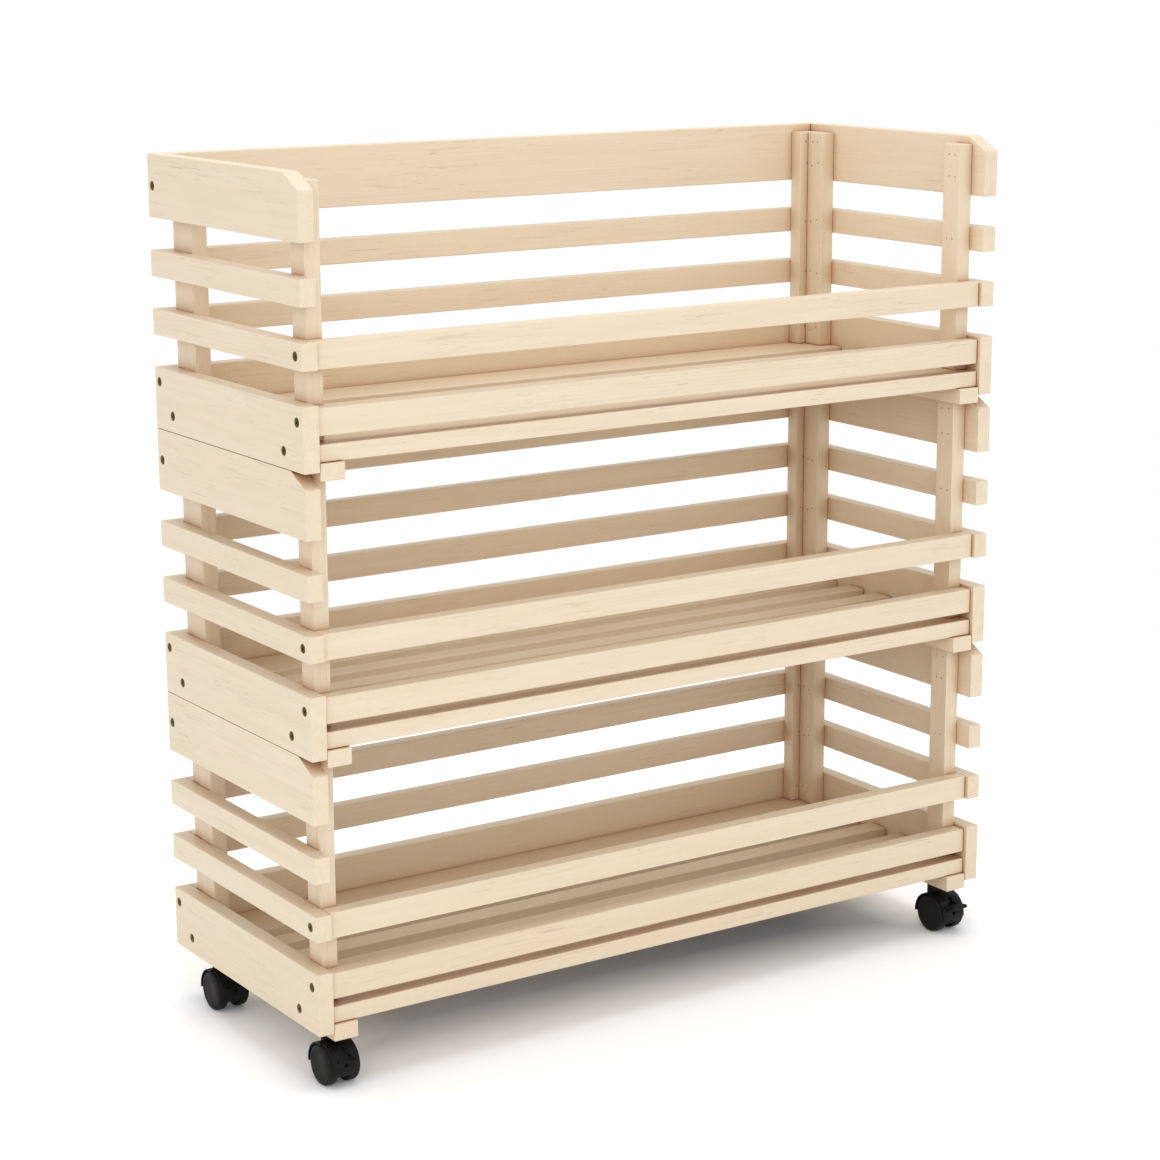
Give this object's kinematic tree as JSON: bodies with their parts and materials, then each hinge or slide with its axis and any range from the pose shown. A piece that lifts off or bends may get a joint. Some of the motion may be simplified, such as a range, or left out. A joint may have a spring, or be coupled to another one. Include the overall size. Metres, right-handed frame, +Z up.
{
  "type": "rolling fruit rack",
  "caption": "Slatted wooden crates stacked as open-fronted shelves for fruit and vegetables, on small swivelling twin-wheel casters, some with brakes.",
  "frame": {"origin": "on the floor, below the middle of the rack's bounding box, brake pedals included", "axes": "+X along the width to the right as seen from the open front, +Y from the front to the back, +Z up"},
  "size_m": [0.8, 0.3094, 0.8476],
  "materials": {
    "pine": "planed and sanded pale pine, unvarnished",
    "black_plastic": "moulded black nylon, satin",
    "steel": "bright turned pin"
  },
  "bodies": {
    "bottom_crate": {"bottom_left_side_panel": "pine", "bottom_right_side_panel": "pine", "bottom_back_panel": "pine", "bottom_lower_front_rail": "pine", "bottom_upper_front_rail": "pine", "bottom_floor_slat_1": "pine", "bottom_floor_slat_2": "pine", "bottom_floor_slat_3": "pine", "bottom_floor_slat_4": "pine", "bottom_floor_slat_5": "pine", "bottom_left_cross_bar": "pine", "bottom_right_cross_bar": "pine", "front_left_caster_stem": "steel", "front_right_caster_stem": "steel", "rear_left_caster_stem": "steel", "rear_right_caster_stem": "steel"},
    "middle_crate": {"middle_left_side_panel": "pine", "middle_right_side_panel": "pine", "middle_back_panel": "pine", "middle_lower_front_rail": "pine", "middle_upper_front_rail": "pine", "middle_floor_slat_1": "pine", "middle_floor_slat_2": "pine", "middle_floor_slat_3": "pine", "middle_floor_slat_4": "pine", "middle_floor_slat_5": "pine", "middle_left_cross_bar": "pine", "middle_right_cross_bar": "pine"},
    "top_crate": {"top_left_side_panel": "pine", "top_right_side_panel": "pine", "top_back_panel": "pine", "top_lower_front_rail": "pine", "top_upper_front_rail": "pine", "top_floor_slat_1": "pine", "top_floor_slat_2": "pine", "top_floor_slat_3": "pine", "top_floor_slat_4": "pine", "top_floor_slat_5": "pine", "top_left_cross_bar": "pine", "top_right_cross_bar": "pine"},
    "front_left_swivel": {"front_left_caster_housing": "black_plastic", "front_left_caster_axle": "steel"},
    "front_left_left_wheel": {"front_left_caster_left_wheel": "black_plastic"},
    "front_left_right_wheel": {"front_left_caster_right_wheel": "black_plastic"},
    "front_right_swivel": {"front_right_caster_housing": "black_plastic", "front_right_caster_axle": "steel"},
    "front_right_left_wheel": {"front_right_caster_left_wheel": "black_plastic"},
    "front_right_right_wheel": {"front_right_caster_right_wheel": "black_plastic"},
    "front_right_brake": {"front_right_brake_pedal": "black_plastic"},
    "rear_left_swivel": {"rear_left_caster_housing": "black_plastic", "rear_left_caster_axle": "steel"},
    "rear_left_left_wheel": {"rear_left_caster_left_wheel": "black_plastic"},
    "rear_left_right_wheel": {"rear_left_caster_right_wheel": "black_plastic"},
    "rear_right_swivel": {"rear_right_caster_housing": "black_plastic", "rear_right_caster_axle": "steel"},
    "rear_right_left_wheel": {"rear_right_caster_left_wheel": "black_plastic"},
    "rear_right_right_wheel": {"rear_right_caster_right_wheel": "black_plastic"},
    "rear_right_brake": {"rear_right_brake_pedal": "black_plastic"}
  },
  "joints": [
    {"name": "middle_crate_lift", "type": "slide", "parent": "bottom_crate", "child": "middle_crate", "axis": [0, 0, 1], "range_m": [0, 0.12]},
    {"name": "top_crate_lift", "type": "slide", "parent": "middle_crate", "child": "top_crate", "axis": [0, 0, 1], "range_m": [0, 0.12]},
    {"name": "front_left_swivel_turn", "type": "hinge", "parent": "bottom_crate", "child": "front_left_swivel", "pos_m": [-0.3712, -0.11335, 0.05], "axis": [0, 0, 1], "continuous": true},
    {"name": "front_left_left_wheel_spin", "type": "hinge", "parent": "front_left_swivel", "child": "front_left_left_wheel", "pos_m": [-0.383, -0.12285, 0.02], "axis": [1, 0, 0], "continuous": true},
    {"name": "front_left_right_wheel_spin", "type": "hinge", "parent": "front_left_swivel", "child": "front_left_right_wheel", "pos_m": [-0.3594, -0.12285, 0.02], "axis": [1, 0, 0], "continuous": true},
    {"name": "front_right_swivel_turn", "type": "hinge", "parent": "bottom_crate", "child": "front_right_swivel", "pos_m": [0.3712, -0.11335, 0.05], "axis": [0, 0, 1], "continuous": true},
    {"name": "front_right_left_wheel_spin", "type": "hinge", "parent": "front_right_swivel", "child": "front_right_left_wheel", "pos_m": [0.3594, -0.12285, 0.02], "axis": [1, 0, 0], "continuous": true},
    {"name": "front_right_right_wheel_spin", "type": "hinge", "parent": "front_right_swivel", "child": "front_right_right_wheel", "pos_m": [0.383, -0.12285, 0.02], "axis": [1, 0, 0], "continuous": true},
    {"name": "front_right_brake_press", "type": "hinge", "parent": "front_right_swivel", "child": "front_right_brake", "pos_m": [0.3712, -0.13485, 0.03], "axis": [1, 0, 0], "range_deg": [0, 8]},
    {"name": "rear_left_swivel_turn", "type": "hinge", "parent": "bottom_crate", "child": "rear_left_swivel", "pos_m": [-0.3712, 0.11465, 0.05], "axis": [0, 0, 1], "continuous": true},
    {"name": "rear_left_left_wheel_spin", "type": "hinge", "parent": "rear_left_swivel", "child": "rear_left_left_wheel", "pos_m": [-0.383, 0.10515, 0.02], "axis": [1, 0, 0], "continuous": true},
    {"name": "rear_left_right_wheel_spin", "type": "hinge", "parent": "rear_left_swivel", "child": "rear_left_right_wheel", "pos_m": [-0.3594, 0.10515, 0.02], "axis": [1, 0, 0], "continuous": true},
    {"name": "rear_right_swivel_turn", "type": "hinge", "parent": "bottom_crate", "child": "rear_right_swivel", "pos_m": [0.3712, 0.11465, 0.05], "axis": [0, 0, 1], "continuous": true},
    {"name": "rear_right_left_wheel_spin", "type": "hinge", "parent": "rear_right_swivel", "child": "rear_right_left_wheel", "pos_m": [0.3594, 0.10515, 0.02], "axis": [1, 0, 0], "continuous": true},
    {"name": "rear_right_right_wheel_spin", "type": "hinge", "parent": "rear_right_swivel", "child": "rear_right_right_wheel", "pos_m": [0.383, 0.10515, 0.02], "axis": [1, 0, 0], "continuous": true},
    {"name": "rear_right_brake_press", "type": "hinge", "parent": "rear_right_swivel", "child": "rear_right_brake", "pos_m": [0.3712, 0.09315, 0.03], "axis": [1, 0, 0], "range_deg": [0, 8]}
  ]
}
